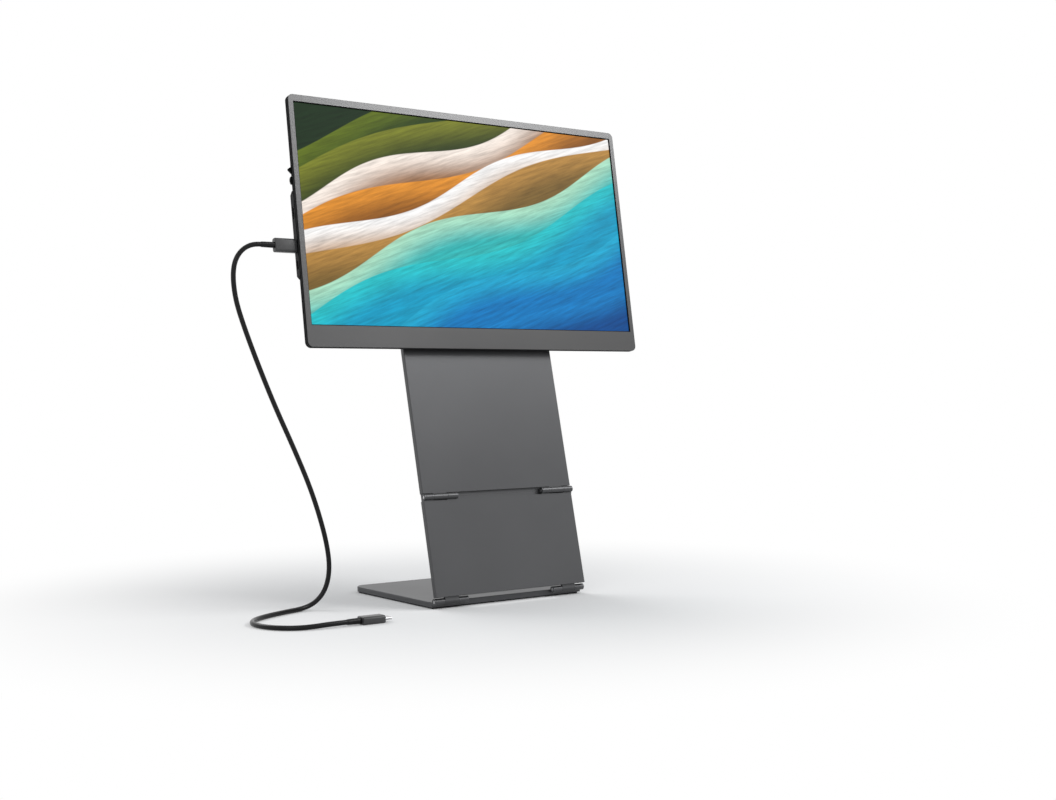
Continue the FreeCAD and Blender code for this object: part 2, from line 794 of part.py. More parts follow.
def hinge_bracket(side):
    """A plate screwed to the back cover, with the arm and barrel that carry the tilt shaft."""
    middle = hinge_span()[1]
    a, b = middle if side > 0 else (-middle[1], -middle[0])
    plate = rounded_plate(a - bracket_margin, b + bracket_margin,
                          bracket_bottom, bracket_bottom + bracket_height,
                          bracket_corner_radius, cover_depth, cover_depth + bracket_thickness)
    barrel = rod(a, b, tilt_axis_depth, tilt_axis_height, knuckle_radius)
    points = [V(a, cover_depth + 0.2, tilt_axis_height - arm_drop),
              V(a, tilt_axis_depth - knuckle_radius * 0.6, tilt_axis_height - arm_drop),
              V(a, tilt_axis_depth, tilt_axis_height),
              V(a, tilt_axis_depth, tilt_axis_height + knuckle_radius),
              V(a, cover_depth + 0.2, tilt_axis_height + knuckle_radius)]
    arm = Part.Face(Part.makePolygon(points + [points[0]])).extrude(V(b - a, 0, 0))
    bracket = joined([plate, barrel, arm])
    cutters = [rod(a - 1, b + 1, tilt_axis_depth, tilt_axis_height, pin_radius + pin_running)]
    for x, z in bracket_screw_places():
        if a - bracket_margin < x < b + bracket_margin:
            cutters.append(stud(x, z, cover_depth - 1, cover_depth + bracket_thickness + 1,
                                bracket_screw_radius + hole_slack))
    return bracket.cut(cutters)


def bracket_screws():
    face = cover_depth + bracket_thickness
    screws = []
    for x, z in bracket_screw_places():
        top = face + bracket_screw_head_height
        head = stud(x, z, face, top, bracket_screw_head_radius)
        head = head.makeChamfer(bracket_screw_head_height / 3, edges_on_face(head, top))
        shank = stud(x, z, tray_back + 0.4, face, bracket_screw_radius)
        screws.append(joined([head, shank]))
    return Part.makeCompound(screws)


def stow_pads():
    """Four rubber pads on the back cover that carry the folded upper leaf."""
    top = tilt_axis_depth - leaf_half - pad_gap
    pads = []
    for x in (-pad_spacing_x / 2, pad_spacing_x / 2):
        for z in (pad_low, pad_high):
            pad = stud(x, z, cover_depth, top, pad_radius)
            pads.append(pad.makeChamfer(pad_chamfer, edges_on_face(pad, top)))
    return Part.makeCompound(pads)


def foot_plate():
    outer, middle, inner = hinge_span()
    front = -foot_depth / 2
    plate = upright_plate(foot_depth, stand_width, foot_corner_radius, mat_thickness, foot_top)
    top_edges = [e for e in plate.Edges if abs(e.BoundBox.ZMin - foot_top) < 1e-4]
    plate = plate.makeFillet(foot_edge_radius, top_edges)
    parts = [plate]
    bores = []
    for span in both_sides([outer, inner]):
        parts.append(knuckle(span, foot_axis.y, foot_axis.z, foot_axis.y, front + 4.0,
                             foot_axis.z - knuckle_radius, foot_top, pin_radius + pin_press))
        bores.append(rod(span[0] - 1, span[1] + 1, foot_axis.y, foot_axis.z, pin_radius + pin_press))
    return joined(parts).cut(bores)


def upright_plate(depth, width, back_radius, z0, z1):
    """A flat plate, square at the hinge and round at its two back corners."""
    front = -depth / 2
    back = depth / 2
    half = width / 2
    r = back_radius
    k = r * (1 - math.sqrt(0.5))
    edges = [Part.makeLine(V(-half, front, z0), V(half, front, z0)),
             Part.makeLine(V(half, front, z0), V(half, back - r, z0)),
             Part.Arc(V(half, back - r, z0), V(half - k, back - k, z0), V(half - r, back, z0)).toShape(),
             Part.makeLine(V(half - r, back, z0), V(-half + r, back, z0)),
             Part.Arc(V(-half + r, back, z0), V(-half + k, back - k, z0), V(-half, back - r, z0)).toShape(),
             Part.makeLine(V(-half, back - r, z0), V(-half, front, z0))]
    return Part.Face(Part.Wire(edges)).extrude(V(0, 0, z1 - z0))


def foot_mat():
    return upright_plate(foot_depth - 2 * mat_inset, stand_width - 2 * mat_inset,
                         foot_corner_radius - mat_inset, 0, mat_thickness)


def foot_pins():
    """One pin on each side through the knuckles of the foot and the lower leaf."""
    return hinge_pins(foot_axis.y, foot_axis.z)


def plug_body():
    """The moulded body of a plug along X, with its mouth at X = 0 and its back at minus its length."""
    body = rounded_plate(-plug_thickness / 2, plug_thickness / 2, -plug_width / 2, plug_width / 2,
                         plug_corner_radius, 0, plug_length)
    body = body.makeChamfer(plug_end_chamfer, edges_on_face(body, plug_length) + edges_on_face(body, 0))
    body.rotate(V(0, 0, 0), Z_AXIS, 90)
    return body.cut(shell_tube(-plug_shell_root - 0.02, 1, 0.02, False))


def shell_tube(x0, x1, grow, hollow):
    """The metal tube of the plug, round-ended, wide side up."""
    def bar(inset):
        radius = plug_shell_thickness / 2 - inset
        half = plug_shell_width / 2 - plug_shell_thickness / 2
        middle = block(x0, x1, -radius, radius, -half, half)
        return joined([middle, rod(x0, x1, 0, -half, radius), rod(x0, x1, 0, half, radius)])
    outer = bar(-grow)
    if not hollow:
        return outer
    mouth = bar(plug_shell_wall)
    mouth.translate(V(plug_shell_root, 0, 0))
    return outer.cut(mouth)


def plug_shell():
    return shell_tube(-plug_shell_root, plug_shell_length, 0, True)


def plug_relief():
    """The strain relief: a smooth tapered sleeve with a softened end."""
    x0 = -plug_length - relief_length
    sleeve = Part.makeCone(relief_tip_diameter / 2, relief_root_diameter / 2, relief_length,
                           V(x0, 0, 0), X_AXIS)
    end = [e for e in sleeve.Edges if abs(e.BoundBox.XMax - x0) < 1e-4]
    return sleeve.makeChamfer(relief_edge_radius, end)


def on_port(shape):
    """Puts a plug into the upper of the two equal sockets, pointing into the screen."""
    copy = shape.copy()
    copy.translate(V(left_edge - plug_seat_gap, port_depth, usb_upper_height))
    return on_screen(copy)


def on_table(shape):
    """Lays a plug on the table, wide side down, pointing to the right."""
    copy = shape.copy()
    copy.rotate(V(0, 0, 0), X_AXIS, 90)
    copy.translate(far_plug_tip - V(plug_shell_length, 0, 0))
    return copy


def cable_route():
    """The cable's points, from the strain relief at the screen to the one on the table."""
    port = screen_corner + screen_up * usb_upper_height + screen_back * port_depth
    start = V(left_edge - plug_seat_gap - plug_length - relief_length, port.y, port.z)
    end = far_plug_tip - V(plug_shell_length + plug_length + relief_length, 0, 0)
    straight_out = start - V(cable_straight_start, 0, 0)
    straight_in = end - V(cable_straight_end, 0, 0)
    return [start, straight_out] + [V(*p) for p in cable_points] + [straight_in, end]


def tube_path(points):
    """Straight runs joined by tangent arcs, each as large as its two runs allow."""
    edges = []
    here = points[0]
    for before, corner, after in zip(points, points[1:], points[2:]):
        run_in = corner - before
        run_out = after - corner
        shorter = min(run_in.Length, run_out.Length)
        way_in = V(run_in).normalize()
        way_out = V(run_out).normalize()
        turn = way_in.getAngle(way_out)
        cut = 0.45 * shorter
        radius = cut / math.tan(turn / 2)
        start = corner - way_in * cut
        end = corner + way_out * cut
        inward = (way_out - way_in).normalize()
        middle = corner + inward * (radius / math.cos(turn / 2) - radius)
        edges.append(Part.makeLine(here, start))
        edges.append(Part.Arc(start, middle, end).toShape())
        here = end
    edges.append(Part.makeLine(here, points[-1]))
    return Part.Wire(edges)


def cable():
    path = tube_path(cable_route())
    first = cable_route()[0]
    second = cable_route()[1]
    section = Part.Wire(Part.makeCircle(cable_diameter / 2, first, second - first))
    return path.makePipeShell([section], True, False)


def save(name, shape):
    solids = shape.Solids
    print("%-22s solids %2d valid %s volume %10.2f" % (name, len(solids), shape.isValid(), shape.Volume))
    shape.exportStep("parts/%s.step" % name)


def cover_screws():
    places = cover_screw_places()
    return Part.makeCompound([flat_screw(x, z, cover_depth, cover_screw_length) for x, z in places])


def housing_screws():
    length = housing_depth - frame_depth - fit_gap
    places = housing_screw_places()
    return Part.makeCompound([flat_screw(x, z, housing_depth, length) for x, z in places])


def main():
    os.makedirs("parts", exist_ok=True)
    save("front_frame", on_screen(front_frame()))
    save("panel_gasket", on_screen(panel_gasket()))
    save("display_glass", on_screen(panel_layer(glass_front, backlight_front, 0)))
    save("panel_backlight", on_screen(backlight()))
    save("panel_tray", on_screen(panel_tray()))
    save("driver_board", on_screen(driver_board()))
    save("panel_flex", on_screen(panel_flex()))
    save("rear_cover", on_screen(rear_cover()))
    save("cover_screws", on_screen(cover_screws()))
    save("port_housing", on_screen(port_housing()))
    save("housing_screws", on_screen(housing_screws()))
    save("main_board", on_screen(main_board()))
    save("board_chips", on_screen(board_chips()))
    save("board_screws", on_screen(board_screws()))
    save("usb_c_socket_upper", on_screen(usb_socket(usb_upper_height)))
    save("usb_c_socket_lower", on_screen(usb_socket(usb_lower_height)))
    save("video_socket", on_screen(video_socket()))
    save("button_board", on_screen(button_board()))
    save("button_switches", on_screen(button_switches()))
    save("power_button", on_screen(power_button()))
    save("menu_rocker", on_screen(menu_rocker()))
    save("hinge_bracket_left", on_screen(hinge_bracket(-1)))
    save("hinge_bracket_right", on_screen(hinge_bracket(1)))
    save("bracket_screws", on_screen(bracket_screws()))
    save("stow_pads", on_screen(stow_pads()))
    save("upper_leaf", on_leaf(upper_leaf()))
    save("tilt_hinge_shafts", on_leaf(tilt_shafts()))
    save("tilt_hinge_washers", on_leaf(tilt_washers()))
    save("tilt_hinge_nuts", on_leaf(tilt_nuts()))
    save("lower_leaf", on_leaf(lower_leaf()))
    save("middle_hinge_pins", on_leaf(hinge_pins(-axis_step, -upper_leaf_length)))
    save("foot_plate", foot_plate())
    save("foot_hinge_pins", foot_pins())
    save("foot_mat", foot_mat())
    save("screen_plug_body", on_port(plug_body()))
    save("screen_plug_shell", on_port(plug_shell()))
    save("screen_plug_relief", on_port(plug_relief()))
    save("far_plug_body", on_table(plug_body()))
    save("far_plug_shell", on_table(plug_shell()))
    save("far_plug_relief", on_table(plug_relief()))
    save("usb_c_cable", cable())


main()
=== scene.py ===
# %% [markdown]
# This file dresses a portable second screen. The screen has a slim grey metal frame and a black
# back, it stands on a flat stand with three hinges, and one short cable hangs from its left edge.
# The solid pieces arrive already built and in place, so the work here is the camera, the light,
# the cable, the finishes and the small parts that only a close look shows.

# %% Load the frame
import math
import bpy
from mathutils import Matrix, Vector


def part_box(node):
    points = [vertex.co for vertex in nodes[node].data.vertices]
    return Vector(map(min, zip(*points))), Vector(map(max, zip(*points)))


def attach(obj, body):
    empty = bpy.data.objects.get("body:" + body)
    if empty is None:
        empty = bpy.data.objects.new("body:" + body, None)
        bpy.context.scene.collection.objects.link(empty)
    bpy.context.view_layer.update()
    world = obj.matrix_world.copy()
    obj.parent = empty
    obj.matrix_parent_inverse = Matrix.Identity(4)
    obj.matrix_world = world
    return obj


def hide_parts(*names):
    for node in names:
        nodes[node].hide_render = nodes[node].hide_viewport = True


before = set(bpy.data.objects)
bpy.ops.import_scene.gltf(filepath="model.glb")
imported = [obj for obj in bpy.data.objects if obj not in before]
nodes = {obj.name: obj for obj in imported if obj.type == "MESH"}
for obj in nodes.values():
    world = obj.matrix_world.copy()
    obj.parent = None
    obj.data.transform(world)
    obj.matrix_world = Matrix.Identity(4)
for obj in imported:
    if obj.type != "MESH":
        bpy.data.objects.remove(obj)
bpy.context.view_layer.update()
print("pieces in the frame:", len(nodes))

# %% [markdown]
# The screen leans back on its stand. Patterns on its front and sides are laid out along its own
# width, height and depth. They could be laid out on an unwrapped map, but the screen is flat, so
# two directions and one corner say the same in three lines. The corner comes from the box of the
# front frame, and the lean is the one angle that has to be given.

# %% The screen's own directions
SCREEN_TILT = math.radians(9.0)
SCREEN_WIDTH = 0.35496
FRAME_DEPTH = 0.0046
screen_up = Vector((0, math.sin(SCREEN_TILT), math.cos(SCREEN_TILT)))
screen_back = Vector((0, math.cos(SCREEN_TILT), -math.sin(SCREEN_TILT)))
frame_low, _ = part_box("front_frame")
screen_corner = Vector((0, frame_low[1], frame_low[2] + FRAME_DEPTH * math.sin(SCREEN_TILT)))
print("screen corner in mm:", [round(v * 1000, 2) for v in screen_corner])


def on_screen(across, depth, height):
    """A point given by its place across, behind and above the screen's lower front edge."""
    return Vector((across, 0, 0)) + screen_corner + screen_back * depth + screen_up * height


# %% [markdown]
# The camera stands low and to the left, below the screen's lower edge, so the picture narrows to
# the right and the left edge with its ports can be seen. Its place, its turn and its focal length
# are those that put the screen's corners where the photograph has them. They could be found by
# moving the camera by hand, but three angles and a place can be solved for and then written down.

# %% Camera
IMAGE_WIDTH = 1056
FOCAL_PIXELS = 1443.4
SENSOR_WIDTH = 36.0
camera_place = Vector((-0.7302, -1.1200, 0.1853))
camera_yaw = math.radians(35.636)
camera_pitch = math.radians(-0.33)
camera_roll = math.radians(-0.522)
ahead = Vector((math.sin(camera_yaw) * math.cos(camera_pitch), math.cos(camera_yaw) * math.cos(camera_pitch),
                math.sin(camera_pitch)))
level_right = Vector((math.cos(camera_yaw), -math.sin(camera_yaw), 0))
level_up = level_right.cross(ahead)
cam_right = level_right * math.cos(camera_roll) + level_up * math.sin(camera_roll)
cam_up = level_up * math.cos(camera_roll) - level_right * math.sin(camera_roll)
camera_data = bpy.data.cameras.new("camera")
camera_data.sensor_width = SENSOR_WIDTH
camera_data.sensor_fit = "HORIZONTAL"
camera_data.lens = FOCAL_PIXELS / IMAGE_WIDTH * SENSOR_WIDTH
camera_data.clip_start = 0.01
camera = bpy.data.objects.new("camera", camera_data)
turn = Matrix((cam_right, cam_up, -ahead)).transposed().to_4x4()
camera.matrix_world = Matrix.Translation(camera_place) @ turn
bpy.context.scene.collection.objects.link(camera)
bpy.context.scene.camera = camera
print("lens:", round(camera_data.lens, 2), "mm")

# %% [markdown]
# A finish in Blender is a tree of nodes. The same few steps come back in every tree, so they are
# made once as small helpers: a sum with one or two values, an eased step from one value to
# another, a colour between two colours, and a test for the rays that the eye sees.

# %% Helpers for node trees


def number(tree, operation, a, b=None):
    """The output of a Math node whose inputs are sockets or plain numbers."""
    node = tree.nodes.new("ShaderNodeMath")
    node.operation = operation
    for i, value in enumerate((a, b)):
        if value is None:
            continue
        if isinstance(value, (int, float)):
            node.inputs[i].default_value = value
        else:
            tree.links.new(value, node.inputs[i])
    return node.outputs[0]


def between(tree, value, low, high):
    """How far a value has gone from low to high, eased at both ends and held to 0 and 1."""
    node = tree.nodes.new("ShaderNodeMapRange")
    node.interpolation_type = "SMOOTHSTEP"
    node.inputs["From Min"].default_value = low
    node.inputs["From Max"].default_value = high
    tree.links.new(value, node.inputs["Value"])
    return node.outputs["Result"]


def mixed(tree, factor, a, b):
    """A colour between two, each a socket or plain numbers."""
    node = tree.nodes.new("ShaderNodeMix")
    node.data_type = "RGBA"
    tree.links.new(factor, node.inputs["Factor"])
    for name, value in (("A", a), ("B", b)):
        if isinstance(value, tuple):
            node.inputs[name].default_value = (*value, 1)
        else:
            tree.links.new(value, node.inputs[name])
    return node.outputs["Result"]


def seen_rays(tree):
    """1 for rays from the camera and for those that mirrors and clear things pass on."""
    path = tree.nodes.new("ShaderNodeLightPath")
    seen = number(tree, "MAXIMUM", path.outputs["Is Camera Ray"], path.outputs["Is Glossy Ray"])
    return number(tree, "MAXIMUM", seen, path.outputs["Is Transmission Ray"])


# %% [markdown]
# The photograph has a white background, so the floor is pale near the object, where it carries
# the shadow, and fades to plain white with distance. A large lit sheet behind the object could
# give the same, but it would light the object as well. This fade is laid out on the floor's own
# coordinates and only the eye, mirrors and clear things see it, so it adds no light.

# %% Floor
FLOOR_WIDTH = 8.0
FLOOR_COLOUR = (0.96, 0.96, 0.96)
FADE_START = 0.10
FADE_END = 0.52


def deselect():
    """Leaves edit mode and selects nothing, because an operator acts on all that is selected."""
    if bpy.context.mode != "OBJECT":
        bpy.ops.object.mode_set(mode="OBJECT")
    bpy.ops.object.select_all(action="DESELECT")


def floor_material():
    """A matt pale floor that turns to white light where it is far from the object."""
    mat = bpy.data.materials.new("pale_floor")
    mat.use_nodes = True
    tree = mat.node_tree
    shader = tree.nodes["Principled BSDF"]
    shader.inputs["Base Color"].default_value = (*FLOOR_COLOUR, 1)
    shader.inputs["Roughness"].default_value = 0.9
    shader.inputs["Specular IOR Level"].default_value = 0.0
    place = tree.nodes.new("ShaderNodeTexCoord")
    reach = tree.nodes.new("ShaderNodeVectorMath")
    reach.operation = "LENGTH"
    tree.links.new(place.outputs["Object"], reach.inputs[0])
    fade = between(tree, reach.outputs["Value"], FADE_START, FADE_END)
    white = tree.nodes.new("ShaderNodeEmission")
    white.inputs["Color"].default_value = (1, 1, 1, 1)
    both = tree.nodes.new("ShaderNodeMixShader")
    tree.links.new(number(tree, "MULTIPLY", fade, seen_rays(tree)), both.inputs["Fac"])
    tree.links.new(shader.outputs["BSDF"], both.inputs[1])
    tree.links.new(white.outputs["Emission"], both.inputs[2])
    tree.links.new(both.outputs["Shader"], tree.nodes["Material Output"].inputs["Surface"])
    return mat


deselect()
bpy.ops.mesh.primitive_plane_add(size=FLOOR_WIDTH, location=(0, 0, 0))
floor = bpy.context.object
floor.name = "floor"
floor.data.materials.append(floor_material())
print("the floor fades to white from", FADE_START, "to", FADE_END, "m")

# %% [markdown]
# Studio light is soft. A small lamp would put a hard spot on the frame, so each lamp is a large
# panel. One stands high on the right, where the photograph brightens the right end of the top
# bezel, a weaker one fills from the left, and a third hangs over the back so that the dark cover
# and the stand keep their edges. The world is white to look at and grey as light.

# %% Light
LAMP_TARGET = (0, 0, 0.25)
WORLD_LIGHT = (0.40, 0.41, 0.42)
WORLD_SEEN = (1.0, 1.0, 1.0)


def softbox(name, place, width, height, watts):
    """A rectangular lamp at a place, turned to face the object."""
    data = bpy.data.lights.new(name, "AREA")
    data.shape = "RECTANGLE"
    data.size = width
    data.size_y = height
    data.energy = watts
    lamp = bpy.data.objects.new(name, data)
    lamp.location = place
    lamp.rotation_euler = (Vector(LAMP_TARGET) - Vector(place)).to_track_quat("-Z", "Y").to_euler()
    bpy.context.scene.collection.objects.link(lamp)
    print(name, "panel:", width, "by", height, "m,", watts, "W")


softbox("key", (1.46, -1.34, 1.66), width=1.5, height=0.7, watts=27)
softbox("fill", (-1.7, -1.5, 1.5), width=1.2, height=1.0, watts=5)
softbox("back", (-0.4, 1.8, 1.7), width=1.8, height=1.0, watts=16)
world = bpy.data.worlds.new("pale_world")
world.use_nodes = True
tree = world.node_tree
sky = mixed(tree, seen_rays(tree), WORLD_LIGHT, WORLD_SEEN)
tree.links.new(sky, tree.nodes["Background"].inputs["Color"])
bpy.context.scene.world = world
bpy.context.scene.view_settings.view_transform = "Standard"

# %% [markdown]
# The cable runs from the plug in the screen's left edge down to the table, turns round once and
# ends in a second plug. It could be left as the frame's tube, or let fall by a simulation, but the
# photograph shows its whole way, so its line is one smooth spline that listed points pull into
# shape. The first two and the last two points lie on the plugs' own lines, so that the cable
# leaves each plug straight.

# %% The line of the cable
CABLE_DIAMETER = 0.0042
ON_TABLE = 0.00215
PLUG_SEAT_GAP = 0.0003
PLUG_LENGTH = 0.020
RELIEF_LENGTH = 0.012
START_STRAIGHT = 0.0042
END_STRAIGHT = 0.0140
PORT_DEPTH = 0.0076
UPPER_PORT_HEIGHT = 0.088
port = on_screen(-SCREEN_WIDTH / 2, PORT_DEPTH, UPPER_PORT_HEIGHT)
cable_start = port - Vector((PLUG_SEAT_GAP + PLUG_LENGTH + RELIEF_LENGTH, 0, 0))
cable_end = Vector((-0.1800, -0.1030, 0.00325))
cable_points = [cable_start, cable_start - Vector((START_STRAIGHT, 0, 0)),
                (-0.2202, -0.0144, 0.3086), (-0.2262, -0.0144, 0.3050), (-0.2310, -0.0144, 0.2993),
                (-0.2341, -0.0144, 0.2913), (-0.2349, -0.0144, 0.2793), (-0.2325, -0.0144, 0.2620),
                (-0.2255, -0.0143, 0.2410), (-0.2135, -0.0142, 0.2105), (-0.1980, -0.0140, 0.1745),
                (-0.1810, -0.0136, 0.1395), (-0.1645, -0.0130, 0.1030), (-0.1525, -0.0122, 0.0675),
                (-0.1470, -0.0112, 0.0420), (-0.1476, -0.0102, 0.0255), (-0.1520, -0.0090, 0.0135),
                (-0.1605, -0.0080, 0.0055), (-0.1720, -0.0086, ON_TABLE), (-0.1880, -0.0145, ON_TABLE),
                (-0.2100, -0.0245, ON_TABLE), (-0.2295, -0.0375, ON_TABLE), (-0.2400, -0.0535, ON_TABLE),
                (-0.2405, -0.0730, ON_TABLE), (-0.2320, -0.0910, ON_TABLE), (-0.2165, -0.1010, ON_TABLE),
                cable_end - Vector((END_STRAIGHT, 0, 0)), cable_end]
curve = bpy.data.curves.new("usb_cable", "CURVE")
curve.dimensions = "3D"
curve.resolution_u = 12
spline = curve.splines.new("NURBS")
spline.points.add(len(cable_points) - 1)
for knot, place in zip(spline.points, cable_points):
    knot.co = (*place, 1)
spline.order_u = 3
spline.use_endpoint_u = True
cable = bpy.data.objects.new("usb_cable", curve)
bpy.context.scene.collection.objects.link(cable)
cable_path = [point.co.copy() for point in bpy.data.meshes.new_from_object(cable).vertices]
print("points by hand:", len(cable_points), "points on the smooth line:", len(cable_path))

# %% [markdown]
# The bare line has been kept as the path that the cable follows. Now the line is given its
# thickness and closed ends and is made a mesh, because a mesh has an exact box and a curve hasn't.

# %% The cable's thickness
curve.bevel_depth = CABLE_DIAMETER / 2
curve.bevel_resolution = 6
curve.use_fill_caps = True
deselect()
cable.select_set(True)
bpy.context.view_layer.objects.active = cable
bpy.ops.object.convert(target="MESH")
cable = bpy.context.object
bpy.ops.object.shade_smooth_by_angle(angle=math.radians(50))
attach(cable, "display")
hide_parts("usb_c_cable")
print("cable faces:", len(cable.data.polygons))

# %% [markdown]
# A real surface is never one flat colour. Pictures of plastic and metal could be wrapped round
# the pieces, but they would have to be fetched and fitted. Here every finish is worked out where
# the surface lies: a base colour that wanders a little, a roughness that wanders with it, and a
# fine bump for the grain. One helper makes that, and each finish sets its own scale and strength.

# %% Helper for finishes
GRAIN_HEIGHT = 0.0002
GRAIN_DETAIL = 2.0
CLOUD_DETAIL = 4.0
NOISE_RANGE = (0.3, 0.7)


def finish(name, colour, roughness, metallic=0.0, grain=1500.0, bump=0.05, drift=0.12, cloud=18.0,
           rough_drift=0.08, specular=0.5):
    """A procedural finish on Object coordinates: drifting colour and roughness, and a fine grain."""
    mat = bpy.data.materials.new(name)
    mat.use_nodes = True
    tree = mat.node_tree
    shader = tree.nodes["Principled BSDF"]
    shader.inputs["Metallic"].default_value = metallic
    shader.inputs["Specular IOR Level"].default_value = specular
    place = tree.nodes.new("ShaderNodeTexCoord")
    clouds = tree.nodes.new("ShaderNodeTexNoise")
    clouds.inputs["Scale"].default_value = cloud
    clouds.inputs["Detail"].default_value = CLOUD_DETAIL
    tree.links.new(place.outputs["Object"], clouds.inputs["Vector"])
    ramp = tree.nodes.new("ShaderNodeValToRGB")
    dark, light = ramp.color_ramp.elements
    dark.position, light.position = NOISE_RANGE
    dark.color = (*[c * (1 - drift) for c in colour], 1)
    light.color = (*[c * (1 + drift) for c in colour], 1)
    tree.links.new(clouds.outputs["Fac"], ramp.inputs["Fac"])
    tree.links.new(ramp.outputs["Color"], shader.inputs["Base Color"])
    span = tree.nodes.new("ShaderNodeMapRange")
    span.inputs["To Min"].default_value = roughness - rough_drift
    span.inputs["To Max"].default_value = roughness + rough_drift
    tree.links.new(clouds.outputs["Fac"], span.inputs["Value"])
    tree.links.new(span.outputs["Result"], shader.inputs["Roughness"])
    fine = tree.nodes.new("ShaderNodeTexNoise")
    fine.inputs["Scale"].default_value = grain
    fine.inputs["Detail"].default_value = GRAIN_DETAIL
    tree.links.new(place.outputs["Object"], fine.inputs["Vector"])
    relief = tree.nodes.new("ShaderNodeBump")
    relief.inputs["Strength"].default_value = bump
    relief.inputs["Distance"].default_value = GRAIN_HEIGHT
    tree.links.new(fine.outputs["Fac"], relief.inputs["Height"])
    tree.links.new(relief.outputs["Normal"], shader.inputs["Normal"])
    return mat


def wear(node, material):
    """Puts one finish all over a frame piece."""
    mesh = nodes[node].data
    mesh.materials.clear()
    mesh.materials.append(material)
    for face in mesh.polygons:
        face.material_index = 0


# %% [markdown]
# The plastics and rubbers come first. The back cover has a fine spark texture, the cable a smooth
# skin, the rubber a matt one. Black surfaces get little sheen, because a white room all round
# would otherwise turn them grey.

# %% Plastics and rubbers
black_cover = finish("black_cover", (0.015, 0.015, 0.0155), 0.50, grain=2600.0, bump=0.35,
                     specular=0.10)
rubber = finish("black_rubber", (0.016, 0.016, 0.017), 0.78, grain=1800.0, bump=0.3, specular=0.2)
black_trim = finish("black_trim", (0.006, 0.006, 0.006), 0.7, grain=2000.0, bump=0.1, specular=0.1)
key_black = finish("key_black", (0.010, 0.010, 0.010), 0.42, grain=3000.0, bump=0.1, specular=0.08)
cable_black = finish("cable_black", (0.004, 0.004, 0.0045), 0.26, grain=1600.0, bump=0.08, cloud=40.0,
                     specular=0.22)
plug_grey = finish("plug_grey", (0.050, 0.050, 0.051), 0.36, grain=2600.0, bump=0.15, specular=0.4)
cable.data.materials.append(cable_black)
plastics = (black_cover, rubber, black_trim, key_black, cable_black, plug_grey)
print("plastics:", [plastic.name for plastic in plastics])

# %% [markdown]
# The foot and the brackets are powder-coated steel with a slight orange peel, and the leaves are
# anodised metal with a finer grain. Screws and pins are zinc-plated and the plug shells are
# nickel-plated. The sockets are nickel too, darkened with painted shade because their insides
# lie in shade.

# %% Metals
stand_grey = finish("stand_grey", (0.075, 0.076, 0.080), 0.44, metallic=0.45, grain=900.0, bump=0.18,
                    cloud=9.0)
stand_alloy = finish("stand_alloy", (0.080, 0.081, 0.084), 0.36, metallic=0.8, grain=3200.0, bump=0.08,
                     cloud=6.0, drift=0.06, specular=0.3)
zinc = finish("plain_steel", (0.52, 0.52, 0.53), 0.34, metallic=1.0, grain=3000.0, bump=0.05)
nickel = finish("plug_metal", (0.48, 0.48, 0.49), 0.28, metallic=1.0, grain=4000.0, bump=0.02,
                rough_drift=0.05)
# Painted shade: the sockets' nickel is darkened because their insides lie in shade.
nickel_in_painted_shade = finish("socket_metal_painted_shade", (0.10, 0.10, 0.102), 0.45, metallic=1.0, grain=4000.0, bump=0.02,
                     rough_drift=0.05)
print("metals:", [metal.name for metal in (stand_grey, stand_alloy, zinc, nickel, nickel_in_painted_shade)])

# %% [markdown]
# Inside are green circuit boards, moulded chips, an amber film cable and a white light guide. They
# are hidden in the closed object, but each has its finish for the day that someone opens it.

# %% Finishes of the inside
board = finish("board_green", (0.012, 0.090, 0.035), 0.32, grain=700.0, bump=0.1)
chip = finish("chip_black", (0.020, 0.020, 0.022), 0.55, grain=2500.0, bump=0.2, specular=0.3)
amber = finish("flex_amber", (0.42, 0.20, 0.04), 0.35, grain=1200.0, bump=0.04)
white_panel = finish("panel_white", (0.74, 0.75, 0.77), 0.5, grain=1500.0, bump=0.03)
print("finishes of the inside:", [part.name for part in (board, chip, amber, white_panel)])

# %% [markdown]
# Each frame piece then puts its finish on. A table from piece to finish is easier to read and to
# change than a line of code for each piece.

# %% Which piece wears which finish
WORN = {
    "rear_cover": black_cover, "port_housing": black_cover,
    "upper_leaf": stand_alloy, "lower_leaf": stand_alloy,
    "foot_plate": stand_grey, "hinge_bracket_left": stand_grey, "hinge_bracket_right": stand_grey,
    "foot_mat": rubber, "stow_pads": rubber,
    "cover_screws": zinc, "housing_screws": zinc, "board_screws": zinc, "bracket_screws": zinc,
    "tilt_hinge_shafts": zinc, "tilt_hinge_washers": zinc, "tilt_hinge_nuts": zinc,
    "middle_hinge_pins": zinc, "foot_hinge_pins": zinc, "panel_tray": zinc, "button_switches": zinc,
    "usb_c_socket_upper": nickel_in_painted_shade, "usb_c_socket_lower": nickel_in_painted_shade, "video_socket": nickel_in_painted_shade,
    "screen_plug_shell": nickel, "far_plug_shell": nickel,
    "main_board": board, "driver_board": board, "button_board": board,
    "board_chips": chip, "panel_flex": amber, "panel_backlight": white_panel,
    "panel_gasket": black_trim, "power_button": key_black, "menu_rocker": key_black,
    "screen_plug_relief": cable_black, "far_plug_relief": cable_black,
    "screen_plug_body": plug_grey, "far_plug_body": plug_grey,
}
for node, material in WORN.items():
    wear(node, material)
print("pieces with a plain finish:", len(WORN))
